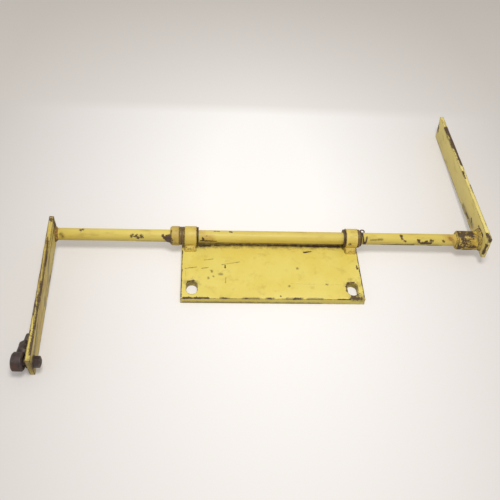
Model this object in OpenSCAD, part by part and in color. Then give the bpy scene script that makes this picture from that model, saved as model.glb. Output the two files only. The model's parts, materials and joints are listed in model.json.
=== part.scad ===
// Cross-shaft unit of an aircraft tow bar.
// A steel shaft turns in two rings welded to a slotted mounting plate. It carries a crank arm at
// each end, and the left arm holds a ball-jointed push rod end.
// Millimetres. +X runs along the shaft, +Y points from the slots to the shaft, +Z is up.
// The origin is on the plate's underside, midway between its two bolt slots.

/* [Mounting plate] */
// Width of the plate, along the shaft
plate_w = 373.2; // [300:0.1:460]
// Thickness of the plate
plate_t = 15.9; // [10:0.1:22]
// From the line through the slots to the plate's front edge
plate_front_margin = 27.2; // [22:0.1:45]
// How far the plate runs past the rings at the rear
plate_rear_margin = 7; // [6:0.5:16]
// From the line through the slots to the shaft's axis
slot_to_shaft = 119; // [90:1:160]
// Width of a bolt slot
slot_w = 22; // [14:0.5:26]
// End-to-end length of a bolt slot, front to rear
slot_len = 33.5; // [30:0.5:40]
// From the plate's side edge to the middle of a slot
slot_side_margin = 22.3; // [18:0.1:40]

/* [Bearing rings] */
// Outside diameter of a bearing ring
ring_d = 41.3; // [40:0.1:46]
// Length of a bearing ring along the shaft
ring_len = 25; // [20:0.5:32]
// From the plate's left edge to the left ring
left_ring_inset = 5.4; // [2:0.1:12]
// From the plate's right edge to the right ring
right_ring_inset = 2.4; // [2:0.1:12]
// Diameter of the oil hole in the front of the right ring
oil_hole_d = 6; // [4:0.5:8]
// From the right ring's inner face to the middle of its oil hole
oil_hole_inset = 8; // [6:0.5:10]
// How far the oil hole points up from level, in degrees
oil_hole_tilt = 12; // [0:1:60]
// How far in front of the shaft's axis the front weld's toe lies
front_weld_toe = 29; // [26:0.5:34]
// How far behind the shaft's axis the rear weld's toe lies
rear_weld_toe = 25; // [24:0.5:26.5]
// How far up the ring a weld climbs, in degrees from the bottom
ring_weld_rise = 66; // [50:1:75]
// Wall of a bush between a ring and the shaft
bush_wall = 3; // [2:0.1:4]
// Thickness of a bush's flange
bush_flange_t = 4.3; // [3:0.1:6]
// Diameter of a bush's flange
bush_flange_d = 38; // [36:0.5:40]

/* [Shaft and what runs on it] */
// Diameter of the cross shaft
shaft_d = 25.4; // [22:0.1:28]
// From the plate's left edge to the left crank arm
left_run = 258.8; // [180:0.1:320]
// From the plate's right edge to the right crank arm
right_run = 264.8; // [180:0.1:320]
// Diameter of the loose washers
washer_d = 38.5; // [34:0.5:44]
// Thickness of a loose washer
washer_t = 5; // [3:0.1:7]
// Diameter of the thin washer beside the cotter pin
thin_washer_d = 34; // [30:0.5:40]
// Thickness of the thin washer
thin_washer_t = 3.5; // [2:0.1:5]
// Diameter of the stop collar
collar_d = 40.5; // [36:0.5:46]
// Length of the stop collar
collar_len = 19; // [14:0.5:26]
// Chamfer on the stop collar's outer end
collar_chamfer = 3.5; // [1:0.5:5]
// Radial leg of the weld that holds the collar
collar_weld_leg = 4.5; // [3:0.5:7]
// Length of the collar's weld along the shaft
collar_weld_len = 11; // [6:0.5:16]
// Free play between the thin washer and the cotter pin
end_play = 4; // [3.5:0.1:6]

/* [Cotter pin] */
// Thickness of the cotter pin through the shaft
cotter_d = 5.6; // [4:0.1:6.4]
// How far the cotter pin leans back from upright, in degrees. At 90 it lies level, eye behind.
cotter_lean_back = 90; // [0:5:90]
// Gap between the cotter pin's two legs where they leave the shaft
leg_split = 0.1; // [0.05:0.05:0.3]
// How far the cotter pin's neck stands out of the shaft
cotter_neck = 3; // [2:0.5:8]
// Radius of the eye's loop, to the middle of its wire
cotter_eye_r = 4.4; // [3.5:0.1:6]
// How far round the shaft the long leg is bent, in degrees from where it leaves the shaft
long_leg_bend = 110; // [90:1:150]
// How far round the shaft the short leg is bent, in degrees from where it leaves the shaft
short_leg_bend = 70; // [50:1:110]
// How far each leg leans away from the pin, in degrees
leg_lean = 12; // [6:1:13]

/* [Crank arms] */
// Depth of a crank arm's flat bar
arm_w = 54; // [48:0.5:64]
// Thickness of a crank arm's flat bar
arm_t = 9.5; // [8:0.1:14]
// From the shaft's axis to the left arm's free end
left_reach = 311; // [240:1:360]
// How far the left arm runs past the shaft's axis
left_overhang = 14; // [13.5:0.5:30]
// From the shaft's axis to the right arm's free end
right_reach = 396; // [300:1:460]
// How far the right arm runs past the shaft's axis
right_overhang = 38.5; // [26:0.5:50]
// How far the right arm's free end is cut back at its lower edge
tip_cutback = 11; // [2:0.5:20]
// Leg of the weld between the shaft and the left arm
left_weld_leg = 7; // [4:0.5:9]
// Outside diameter of the hub sleeve
hub_d = 41; // [36:0.5:46]
// Length of the hub sleeve
hub_len = 48; // [36:1:70]
// Leg of the weld between the hub sleeve and the right arm
right_weld_leg = 8; // [4:0.5:9]
// Leg of the weld between the shaft and the hub sleeve
hub_weld_leg = 5; // [3:0.5:6]

/* [Ball joint and rod] */
// From the left arm's free end to the ball stud
stud_edge = 12.5; // [12:0.5:26]
// Diameter of the stud where it passes the arm
stud_d = 12.7; // [10:0.1:14]
// Diameter of the ball
ball_d = 19; // [18:0.1:20.5]
// From the arm's outer face to the ball's centre
ball_offset = 14.5; // [14.5:0.1:16]
// Diameter of the stud's shoulder against the arm
shoulder_d = 16.4; // [15.5:0.1:18]
// Thickness of the stud's shoulder
shoulder_t = 1.6; // [1:0.1:2]
// Wall of the ball seat
seat_wall = 2; // [1.5:0.1:2.5]
// Half the seat's width along the stud
seat_half = 5.5; // [4.5:0.1:6]
// Diameter of the joint housing
housing_d = 35.5; // [33:0.5:40]
// From the ball's centre to the housing's mouth
mouth_half = 7.2; // [6.8:0.1:7.4]
// From the ball's centre to the housing's closed side
back_half = 13.5; // [10:0.1:14]
// Diameter of the housing's mouth
mouth_d = 19.2; // [18.6:0.1:20.4]
// Chamfer round the housing's edges
housing_chamfer = 2.5; // [1:0.1:3]
// Thickness of the cap inside the housing
cap_plug = 3.5; // [2:0.1:3.8]
// How far the cap's dome stands out of the housing
cap_dome = 3.5; // [2:0.1:4]
// Diameter of the cap's dome
cap_d = 28; // [25:0.5:29.5]
// Diameter of the housing's neck
neck_d = 24.5; // [20:0.5:24.5]
// How far the neck takes to swell to its full size, past the housing's rim
neck_flare = 4; // [2:0.5:6]
// From the ball's centre to the end of the neck
neck_end = 36; // [28:0.5:45]
// Depth of the rod's hole in the neck
rod_socket = 12; // [8:0.5:13]
// Thickness of the jam nut
jam_nut_t = 11; // [6:0.5:12]
// Size of the jam nut across its flats
jam_nut_af = 22; // [19:0.5:22]
// Diameter of the rod
rod_d = 14; // [9:0.1:14]
// From the ball's centre to the end of the rod
rod_end = 73; // [65:1:120]
// How far the rod leans towards the arm at rest, in degrees
rod_toe_in = 1.8; // [0:0.1:2.5]
// Chamfer on the rod's end
rod_chamfer = 1.2; // [0.5:0.1:2]
// Size of the stud's nut across its flats
stud_nut_af = 19; // [17:0.5:20]
// Thickness of the stud's nut
stud_nut_t = 11; // [8:0.5:14]
// Thickness of the washer under the stud's nut
stud_washer_t = 1.6; // [1.2:0.1:4]
// Diameter of the washer under the stud's nut
stud_washer_d = 24; // [22:0.5:27]
// How far the stud stands out of its nut
stud_tail = 1.5; // [1:0.5:6]
// Thickness of the rubber boot round the stud
boot_t = 2.6; // [2:0.1:2.8]
// Outside diameter of the rubber boot
boot_d = 23; // [20:0.5:24]

/* [Fits] */
// Radial clearance of what turns on the shaft and of the ball in its seat
running_gap = 0.05; // [0.02:0.01:0.1]
// Radial clearance of pieces pressed or screwed together
seat_gap = 0.02; // [0.01:0.01:0.04]
// Gap between a weld bead and the curved piece it joins
weld_gap = 0.05; // [0.02:0.01:0.1]
// Gap between neighbouring faces that slide on each other
side_gap = 0.3; // [0.2:0.05:0.5]

/* [Hidden] */
$fn = 64;

paint = "#dfc975";
worn_paint = "#b9a05a";
bare_steel = "#6b5a48";
dark_steel = "#4a3f3a";
rubber_black = "#2b2a2a";

shaft_r = shaft_d / 2;
shaft_y = slot_to_shaft;
shaft_z = plate_t + weld_gap + ring_d / 2;

// Places along the shaft, from left to right
plate_left = -plate_w / 2;
plate_right = plate_w / 2;
left_arm_face = plate_left - left_run;
right_arm_face = plate_right + right_run;
left_ring_x = plate_left + left_ring_inset;
left_ring_end = left_ring_x + ring_len;
right_ring_end = plate_right - right_ring_inset;
right_ring_x = right_ring_end - ring_len;
left_inner_washer_x = left_ring_x - side_gap - washer_t;
left_outer_washer_x = left_inner_washer_x - side_gap - washer_t;
collar_x = left_outer_washer_x - side_gap - collar_len;
right_inner_washer_x = right_ring_end + side_gap;
right_thin_washer_x = right_inner_washer_x + washer_t + side_gap;
cotter_x = right_thin_washer_x + thin_washer_t + end_play + cotter_d / 2;
hub_x = right_arm_face - hub_len;

bush_d = shaft_d + 2 * running_gap + 2 * bush_wall;
shaft_bore_d = shaft_d + 2 * running_gap;

// An arm's lower edge is level with the shaft's underside. Both arms' tips rest on the floor,
// and so does the end of the rod.
arm_low = -shaft_r;
arm_high = arm_w - shaft_r;
function droop(reach, drop, height) = asin(height / norm([reach, drop])) - atan2(drop, reach);
left_droop = droop(left_reach, shaft_r, shaft_z);
right_droop = droop(right_reach - tip_cutback, shaft_r, shaft_z);

// The ball stud, on the left arm's centre line
stud_s = left_reach - stud_edge;
stud_v = arm_w / 2 - shaft_r;
stud_y = shaft_y - stud_s * cos(left_droop) - stud_v * sin(left_droop);
stud_z = shaft_z - stud_s * sin(left_droop) + stud_v * cos(left_droop);
ball_x = left_arm_face - arm_t - ball_offset;
ball_r = ball_d / 2;
seat_r = ball_r + running_gap + seat_wall;
cavity_r = seat_r + running_gap;
cap_bore_r = cavity_r + side_gap; // The seat goes in through this bore, and the cap closes it
rod_droop = droop(rod_end - rod_chamfer, rod_d / 2, stud_z);

slack = 1; // How far a cutting shape runs past the face that it cuts

// Puts a shape built up along +Z on the shaft's axis, starting at x.
module on_shaft(x) translate([x, shaft_y, shaft_z]) rotate([0, 90, 0]) children();

// Puts a shape built up along +Z on the stud's axis, starting at x.
module on_stud(x) translate([x, stud_y, stud_z]) rotate([0, 90, 0]) children();

// Lays an arm's outline in its plane. The outline's x runs from the shaft's axis to the free end.
module on_left_arm(x) translate([x, shaft_y, shaft_z]) rotate([left_droop, 0, 0])
    rotate([90, 0, 90]) mirror([1, 0, 0]) children();
module on_right_arm(x) translate([x, shaft_y, shaft_z]) rotate([-right_droop, 0, 0])
    rotate([90, 0, 90]) children();

// Puts the link's own frame at the ball: its x is the stud's axis and its y runs down the rod.
module on_link() translate([ball_x, stud_y, stud_z]) rotate([-rod_droop, 0, -rod_toe_in]) children();

// A plain sleeve along +Z.
module sleeve(len, outer_d, bore_d) difference() {
    cylinder(h = len, d = outer_d);
    translate([0, 0, -slack]) cylinder(h = len + 2 * slack, d = bore_d);
}

// A weld fillet round a shaft of radius r, with its face at z = 0.
module fillet_ring(r, leg, turn = 360) rotate_extrude(angle = turn)
    polygon([[r + weld_gap, 0], [r + leg, 0], [r + weld_gap, leg]]);

// The outline of a bolt slot, running front to rear.
module slot_outline() {
    half = (slot_len - slot_w) / 2;
    translate([0, half]) circle(d = slot_w);
    translate([0, -half]) circle(d = slot_w);
    translate([-slot_w / 2, -half]) square([slot_w, 2 * half]);
}

module mounting_plate() {
    rear = shaft_y + ring_d / 2 + plate_rear_margin;
    slot_x = plate_w / 2 - slot_side_margin;
    color(paint) linear_extrude(plate_t) difference() {
        translate([plate_left, -plate_front_margin]) square([plate_w, rear + plate_front_margin]);
        for (side = [-1, 1]) translate([side * slot_x, 0]) slot_outline();
    }
}

module bearing_ring(x) color(paint) on_shaft(x) sleeve(ring_len, ring_d, bush_d + 2 * seat_gap);

// A bush has its flange against the ring's inner face.
module bush(x, flange_x) color(dark_steel) union() {
    on_shaft(x) sleeve(ring_len, bush_d, shaft_bore_d);
    on_shaft(flange_x) sleeve(bush_flange_t, bush_flange_d, shaft_bore_d);
}

// Drills the oil hole through the front of the right ring, or of its bush.
module oil_drilled() difference() {
    children();
    translate([right_ring_x + oil_hole_inset, shaft_y, shaft_z]) rotate([90 - oil_hole_tilt, 0, 0])
        cylinder(h = ring_d, d = oil_hole_d);
}

// A fillet weld along a ring's foot, on the side given by its sign.
module ring_weld(x, side, toe) {
    r = ring_d / 2;
    color(paint) translate([x, shaft_y, plate_t]) rotate([90, 0, 90]) linear_extrude(ring_len)
        difference() {
            polygon([
                [0, 0],
                [side * toe, 0],
                [side * r * sin(ring_weld_rise), r * (1 - cos(ring_weld_rise))]
            ]);
            translate([0, r + weld_gap]) circle(r = r + weld_gap);
        }
}

module loose_washer(x, t, d) color(bare_steel) on_shaft(x) sleeve(t, d, shaft_bore_d);

// Puts the cotter pin's own frame at the shaft: its z runs along the pin, towards the eye.
module on_cotter() translate([cotter_x, shaft_y, shaft_z]) rotate([-cotter_lean_back, 0, 0]) children();

module cross_shaft() color(paint) difference() {
    on_shaft(left_arm_face) cylinder(h = right_arm_face - left_arm_face, d = shaft_d);
    on_cotter() translate([0, 0, -shaft_d]) cylinder(h = 2 * shaft_d, d = cotter_d + 2 * side_gap);
}

module stop_collar() color(paint) on_shaft(collar_x) rotate_extrude() {
    bore_r = shaft_r + seat_gap;
    outer_r = collar_d / 2;
    polygon([
        [bore_r, 0],
        [outer_r - collar_chamfer, 0],
        [outer_r, collar_chamfer],
        [outer_r, collar_len],
        [bore_r, collar_len]
    ]);
}

// A short weld on the front of the shaft, against the collar's left face.
module collar_weld() {
    weld_turn = 80;
    weld_middle = -110;
    color(dark_steel) on_shaft(collar_x) rotate([0, 0, weld_middle - weld_turn / 2])
        rotate_extrude(angle = weld_turn) polygon([
            [shaft_r + weld_gap, 0],
            [shaft_r + collar_weld_leg, 0],
            [shaft_r + weld_gap, -collar_weld_len]
        ]);
}

// The pin goes through the shaft from behind, and its legs are bent up round the front.
module cotter_pin() {
    leg_r = (cotter_d / 2 - leg_split) / 2;
    loop_r = (shaft_r + leg_r + side_gap) / cos(leg_lean);
    low = loop_r + cotter_d / 2;
    color(dark_steel) on_cotter() {
        translate([0, 0, -low]) cylinder(h = low + shaft_r + cotter_neck, d = cotter_d);
        translate([0, 0, shaft_r + cotter_neck + cotter_eye_r]) rotate([90, 0, 0])
            rotate_extrude() translate([cotter_eye_r, 0]) circle(r = leg_r);
        for (leg = [[-1, long_leg_bend], [1, short_leg_bend]])
            translate([leg[0] * cotter_d / 4, 0, 0]) rotate([0, 0, leg[0] * leg_lean])
                rotate([0, 90, 0]) rotate([0, 0, -leg[1]])
                    rotate_extrude(angle = leg[1]) translate([loop_r, 0]) circle(r = leg_r);
    }
}

module left_arm_outline() translate([-left_overhang, arm_low]) square([left_reach + left_overhang, arm_w]);

module right_arm_outline() polygon([
    [-right_overhang, arm_low],
    [right_reach - tip_cutback, arm_low],
    [right_reach, arm_high],
    [-right_overhang, arm_high]
]);

module left_crank_arm() color(paint) on_left_arm(left_arm_face - arm_t) linear_extrude(arm_t)
    difference() {
        left_arm_outline();
        translate([stud_s, stud_v]) circle(d = stud_d + 2 * seat_gap);
    }

module right_crank_arm() color(worn_paint) on_right_arm(right_arm_face) linear_extrude(arm_t)
    right_arm_outline();

// The weld stops where the arm's face stops, and leaves the arm's lower edge clean.
module left_arm_weld() color(bare_steel) intersection() {
    on_shaft(left_arm_face) fillet_ring(shaft_r, left_weld_leg);
    on_left_arm(left_arm_face - slack) linear_extrude(left_weld_leg + 2 * slack)
        translate([-left_overhang, arm_low + left_weld_leg / 2]) square([2 * shaft_d, arm_w]);
}

module hub_sleeve() color(bare_steel) on_shaft(hub_x) sleeve(hub_len, hub_d, shaft_d + 2 * seat_gap);

module hub_end_weld() color(worn_paint) on_shaft(hub_x) mirror([0, 0, 1])
    fillet_ring(shaft_r, hub_weld_leg);

module right_arm_weld() color(worn_paint) intersection() {
    on_shaft(right_arm_face) mirror([0, 0, 1]) fillet_ring(hub_d / 2, right_weld_leg);
    on_right_arm(right_arm_face - right_weld_leg - slack) linear_extrude(right_weld_leg + 2 * slack)
        right_arm_outline();
}

// Ball, neck, shoulder and threaded end are one turned piece.
module ball_stud() {
    through = ball_offset + arm_t + stud_washer_t + stud_nut_t + stud_tail;
    color(dark_steel) union() {
        on_stud(ball_x) sphere(d = ball_d);
        on_stud(ball_x) cylinder(h = through, d = stud_d);
        on_stud(ball_x + ball_offset - shoulder_t) cylinder(h = shoulder_t, d = shoulder_d);
    }
}

module hexagon_nut(t, af, bore_d) difference() {
    cylinder(h = t, d = af / cos(30), $fn = 6);
    translate([0, 0, -slack]) cylinder(h = t + 2 * slack, d = bore_d);
}

module stud_washer() color(dark_steel) on_stud(left_arm_face)
    sleeve(stud_washer_t, stud_washer_d, stud_d + 2 * seat_gap);

module stud_nut() color(dark_steel) on_stud(left_arm_face + stud_washer_t) rotate([0, 0, 12])
    hexagon_nut(stud_nut_t, stud_nut_af, stud_d + 2 * seat_gap);

// A band of a hollow ball, open on both sides.
module ball_seat() color(bare_steel) on_stud(ball_x) intersection() {
    difference() {
        sphere(r = seat_r);
        sphere(r = ball_r + running_gap);
    }
    translate([0, 0, -seat_half]) cylinder(h = 2 * seat_half, r = seat_r + slack);
}

// The boot turns on the stud's shoulder, just off the arm.
module dust_boot() color(rubber_black) on_stud(left_arm_face - arm_t - side_gap - boot_t)
    sleeve(boot_t, boot_d, shoulder_d + 2 * side_gap);

module joint_housing() {
    outer_r = housing_d / 2;
    color(dark_steel) on_link() difference() {
        union() {
            rotate([0, 90, 0]) rotate_extrude() polygon([
                [0, -back_half],
                [outer_r - housing_chamfer, -back_half],
                [outer_r, housing_chamfer - back_half],
                [outer_r, mouth_half - housing_chamfer],
                [outer_r - housing_chamfer, mouth_half],
                [0, mouth_half]
            ]);
            rotate([-90, 0, 0]) rotate_extrude() polygon([
                [0, 0],
                [mouth_half, 0],
                [mouth_half, outer_r - housing_chamfer],
                [neck_d / 2, outer_r + neck_flare],
                [neck_d / 2, neck_end],
                [0, neck_end]
            ]);
        }
        rotate([0, 90, 0]) sphere(r = cavity_r);
        rotate([0, -90, 0]) cylinder(h = back_half + slack, r = cap_bore_r);
        rotate([0, 90, 0]) cylinder(h = mouth_half + slack, d = mouth_d);
        translate([0, neck_end - rod_socket, 0]) rotate([-90, 0, 0])
            cylinder(h = rod_socket + slack, d = rod_d + 2 * seat_gap);
    }
}

// A plug hollowed to clear the seat, under a shallow dome.
module housing_cap() {
    dome_r = (pow(cap_d / 2, 2) + pow(cap_dome, 2)) / (2 * cap_dome);
    color(dark_steel) on_link() rotate([0, -90, 0]) union() {
        difference() {
            translate([0, 0, back_half - cap_plug]) cylinder(h = cap_plug, r = cap_bore_r - seat_gap);
            sphere(r = cavity_r);
        }
        intersection() {
            translate([0, 0, back_half]) cylinder(h = cap_dome, d = cap_d);
            translate([0, 0, back_half + cap_dome - dome_r]) sphere(r = dome_r);
        }
    }
}

// One of the jam nut's flats faces the arm.
module jam_nut() color(dark_steel) on_link() translate([0, neck_end, 0]) rotate([-90, 30, 0])
    hexagon_nut(jam_nut_t, jam_nut_af, rod_d + 2 * seat_gap);

module push_rod_end() {
    start = neck_end - rod_socket + side_gap;
    rod_r = rod_d / 2;
    color(dark_steel) on_link() rotate([-90, 0, 0]) rotate_extrude() polygon([
        [0, start],
        [rod_r, start],
        [rod_r, rod_end - rod_chamfer],
        [rod_r - rod_chamfer, rod_end],
        [0, rod_end]
    ]);
}

mounting_plate();
bearing_ring(left_ring_x);  // left_bearing_ring
oil_drilled() bearing_ring(right_ring_x);  // right_bearing_ring
ring_weld(left_ring_x, -1, front_weld_toe);  // left_ring_front_weld
ring_weld(left_ring_x, 1, rear_weld_toe);  // left_ring_rear_weld
ring_weld(right_ring_x, -1, front_weld_toe);  // right_ring_front_weld
ring_weld(right_ring_x, 1, rear_weld_toe);  // right_ring_rear_weld
bush(left_ring_x, left_ring_end);  // left_bush
oil_drilled() bush(right_ring_x, right_ring_x - bush_flange_t);  // right_bush
loose_washer(left_outer_washer_x, washer_t, washer_d);  // left_outer_washer
loose_washer(left_inner_washer_x, washer_t, washer_d);  // left_inner_washer
loose_washer(right_inner_washer_x, washer_t, washer_d);  // right_inner_washer
loose_washer(right_thin_washer_x, thin_washer_t, thin_washer_d);  // right_thin_washer
cross_shaft();
stop_collar();
collar_weld();
cotter_pin();
left_crank_arm();
left_arm_weld();
hub_sleeve();
hub_end_weld();
right_crank_arm();
right_arm_weld();
ball_stud();
stud_washer();
stud_nut();
ball_seat();
dust_boot();
joint_housing();
housing_cap();
jam_nut();
push_rod_end();
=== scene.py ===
import json
import math

import bmesh
import bpy
from mathutils import Matrix, Vector, noise
from mathutils.bvhtree import BVHTree


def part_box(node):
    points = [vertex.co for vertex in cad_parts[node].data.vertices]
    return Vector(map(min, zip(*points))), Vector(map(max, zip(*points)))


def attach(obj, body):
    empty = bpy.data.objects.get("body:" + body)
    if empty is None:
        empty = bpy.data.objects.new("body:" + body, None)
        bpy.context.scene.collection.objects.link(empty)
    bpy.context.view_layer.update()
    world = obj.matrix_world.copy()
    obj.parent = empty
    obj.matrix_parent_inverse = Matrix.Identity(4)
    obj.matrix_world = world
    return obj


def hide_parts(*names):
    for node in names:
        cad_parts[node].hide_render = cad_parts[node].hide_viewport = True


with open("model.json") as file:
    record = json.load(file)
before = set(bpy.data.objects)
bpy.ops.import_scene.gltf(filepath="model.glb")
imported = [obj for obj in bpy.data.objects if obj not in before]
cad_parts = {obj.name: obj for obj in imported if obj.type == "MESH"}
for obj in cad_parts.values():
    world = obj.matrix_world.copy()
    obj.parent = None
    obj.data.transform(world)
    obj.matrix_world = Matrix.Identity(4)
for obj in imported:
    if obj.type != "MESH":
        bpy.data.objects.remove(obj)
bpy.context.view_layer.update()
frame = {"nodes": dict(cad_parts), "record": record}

# The cross-shaft unit of an aircraft tow bar, dressed for the photograph: a slotted plate with two
# welded rings, a shaft turning in them, a crank arm at each end and a ball-jointed rod end.
# Everything is in metres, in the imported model's frame: +X along the shaft, +Z up.

MM = 0.001
MATH, VECTOR_MATH, MAP_RANGE = "ShaderNodeMath", "ShaderNodeVectorMath", "ShaderNodeMapRange"
NODES, RECORD = frame["nodes"], frame["record"]
BODY_OF = {node: body for body, nodes in RECORD["behaviour"]["bodies"].items() for node in nodes}


# ---------------------------------------------------------------------------------------------
# Camera and image points
# ---------------------------------------------------------------------------------------------

IMAGE = 500  # The photograph's width and height
LENS, SENSOR = 49.42, 36.0  # Millimetres
CAMERA_PLACE = Vector((-0.1558, -0.8322, 1.1265))
CAMERA_YAW = 6.9  # Degrees to the right of +Y
CAMERA_PITCH = 49.78  # Degrees down
CAMERA_ROLL = 6.1  # Degrees; the shaft's right end hangs lower in the picture
RAY_NEAR, RAY_STEP, RAY_STEPS = 0.5, 0.005, 300  # Where along a ray that misses to look beside it

# x, y in the photograph; None where only one of the two is an edge of the object
POINTS = {
    "left_edge": (9.5, None),
    "right_edge": (492.8, None),
    "top_edge": (None, 116.0),
    "bottom_edge": (None, 375.7),
    "plate_front_left": (179.7, 298.2),
    "plate_front_right": (364.6, 299.8),
    "left_slot": (191.8, 287.5),
    "right_slot": (352.5, 291.2),
    "stud_nut": (36.4, 361.8),
    "cotter_eye": (365.2, 230.8),
    "shaft_chip_far_left": (81.8, 230.0),
    "shaft_chip_left": (136.5, 236.0),
    "shaft_rust": (205.5, 236.0),
    "shaft_chip_right": (402.0, 237.6),
    "shaft_scar_right": (425.5, 242.3),
    "plate_scratch": (231.3, 263.3),
    "left_arm_rust": (44.5, 282.3),
    "right_arm_chip": (470.9, 188.8),
    "right_arm_scar": (467.3, 215.3),
    "hub_bare_patch": (474.8, 245.8),
}


def camera_matrix():
    """Where the camera stands and looks, from its named values."""
    yaw, pitch, roll = (math.radians(a) for a in (CAMERA_YAW, CAMERA_PITCH, CAMERA_ROLL))
    ahead = Vector((math.sin(yaw) * math.cos(pitch), math.cos(yaw) * math.cos(pitch), -math.sin(pitch)))
    right = Vector((math.cos(yaw), -math.sin(yaw), 0))
    up = right.cross(ahead)
    tilted_right = math.cos(roll) * right + math.sin(roll) * up
    tilted_up = math.cos(roll) * up - math.sin(roll) * right
    turn = Matrix((tilted_right, tilted_up, -ahead)).transposed()
    return Matrix.Translation(CAMERA_PLACE) @ turn.to_4x4()


def make_camera():
    """The photograph's camera."""
    data = bpy.data.cameras.new("camera")
    data.sensor_fit = "AUTO"
    data.sensor_width = SENSOR
    data.lens = LENS
    data.clip_start = 0.05
    camera = bpy.data.objects.new("camera", data)
    camera.matrix_world = camera_matrix()
    bpy.context.scene.collection.objects.link(camera)
    bpy.context.scene.camera = camera


TO_CAMERA = camera_matrix().inverted()


def seen_at(place):
    """Where a point of the frame shows in the photograph."""
    x, y, z = TO_CAMERA @ Vector(place)
    scale = IMAGE * LENS / SENSOR / -z
    return IMAGE / 2 + x * scale, IMAGE / 2 - y * scale


def mesh_tree(objects):
    """A search tree over the objects' finished meshes, all of which sit at the origin."""
    verts, faces = [], []
    for thing in objects:
        first = len(verts)
        verts.extend(v.co.copy() for v in thing.data.vertices)
        faces.extend([first + i for i in p.vertices] for p in thing.data.polygons)
    return BVHTree.FromPolygons(verts, faces)


def placed(point, carriers):
    """The place on the carriers' surface that shows at a named point of the photograph, or the one
    nearest the ray where that misses."""
    x, y = POINTS[point]
    ray = Vector((x - IMAGE / 2, IMAGE / 2 - y, -IMAGE * LENS / SENSOR))
    ray = (camera_matrix().to_3x3() @ ray).normalized()
    tree = mesh_tree(carriers)
    hit = tree.ray_cast(CAMERA_PLACE, ray)[0]
    if hit is None:
        tries = (CAMERA_PLACE + ray * (RAY_NEAR + RAY_STEP * i) for i in range(RAY_STEPS))
        hit = min((tree.find_nearest(p) for p in tries), key=lambda found: found[3])[0]
    return hit


# ---------------------------------------------------------------------------------------------
# Materials
# ---------------------------------------------------------------------------------------------

THIN_PAINT = "#a5813f"  # The rim of a chip, where primer and steel show through
# The grease and bare-steel colours also paint shade, in the marks that are given for it
GREASE_AND_PAINTED_SHADE, RUST_STAIN = "#66562a", "#ac6c26"
BARE_STEEL_AND_PAINTED_SHADE, BARED_FLECKS, RUBBED_STEEL = "#3a2b1a", "#634a2c", "#8d7f70"
EDGE_WEAR, WEAR_PER_UNIT = 0.8, 0.4  # How much an edge and a finish's own wear help a chip along
CHIP_STARTS, CHIP_THROUGH, RIM_STARTS = 1.28, 1.34, 1.08  # Along the sum of roughness and rubbing


def rgb(code):
    """An sRGB hex value as a linear colour."""
    parts = [int(code[i:i + 2], 16) / 255 for i in (1, 3, 5)]
    return tuple(c / 12.92 if c <= 0.04045 else ((c + 0.055) / 1.055) ** 2.4 for c in parts) + (1.0,)


def add(tree, kind, sockets=(), out=0, **settings):
    """Adds a node and returns one of its outputs. Sockets get another node's output, or a value."""
    node = tree.nodes.new(kind)
    for name, value in settings.items():
        setattr(node, name, value)
    pairs = sockets.items() if isinstance(sockets, dict) else enumerate(sockets)
    for key, value in pairs:
        if isinstance(value, bpy.types.NodeSocket):
            tree.links.new(value, node.inputs[key])
        else:
            node.inputs[key].default_value = value
    return node.outputs[out] if len(node.outputs) else node


def new_material(name):
    """A material's tree, its shader and the object coordinates that its patterns read."""
    material = bpy.data.materials.new(name)
    material.use_nodes = True
    tree = material.node_tree
    tree.nodes.clear()
    surface = add(tree, "ShaderNodeBsdfPrincipled")
    add(tree, "ShaderNodeOutputMaterial", {"Surface": surface})
    return material, tree, surface.node, add(tree, "ShaderNodeTexCoord", out="Object")


def lumps(tree, where, size_mm, low=0.2, high=0.8, top=1.0, stretch=(1, 1, 1), shift=0.0):
    """A cloudy pattern whose lumps are about size_mm across. It rises from 0 to top as the noise
    behind it goes from low to high."""
    moved = add(tree, "ShaderNodeMapping", {
        "Vector": where, "Location": (shift, 0.7 * shift, -shift), "Scale": stretch})
    cloud = add(tree, "ShaderNodeTexNoise", {
        "Vector": moved, "Scale": 1 / (size_mm * MM), "Detail": 4.0, "Roughness": 0.6})
    return add(tree, MAP_RANGE, {
        "Value": cloud, "From Min": low, "From Max": high, "To Max": top},
        interpolation_type="SMOOTHSTEP")


def layered(tree, base, layers):
    """The base colour with each layer, given as its mask and its colour, laid over it in turn."""
    colour = rgb(base)
    for mask, code in layers:
        colour = add(tree, "ShaderNodeMix", {0: mask, 6: colour, 7: rgb(code)}, out=2, data_type="RGBA")
    return colour


def rubbed_edges(tree, reach_mm):
    """Rises from 0 on flat metal to 1 along its edges, within reach_mm of them."""
    rounded = add(tree, "ShaderNodeBevel", {"Radius": reach_mm * MM}, samples=6)
    true = add(tree, "ShaderNodeNewGeometry", out="True Normal")
    level = add(tree, VECTOR_MATH, [rounded, true], out="Value", operation="DOT_PRODUCT")
    flat, turned_away = 0.995, 0.93  # How far the rounded and the true surface agree
    return add(tree, MAP_RANGE, {"Value": level, "From Min": flat, "From Max": turned_away})


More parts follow.
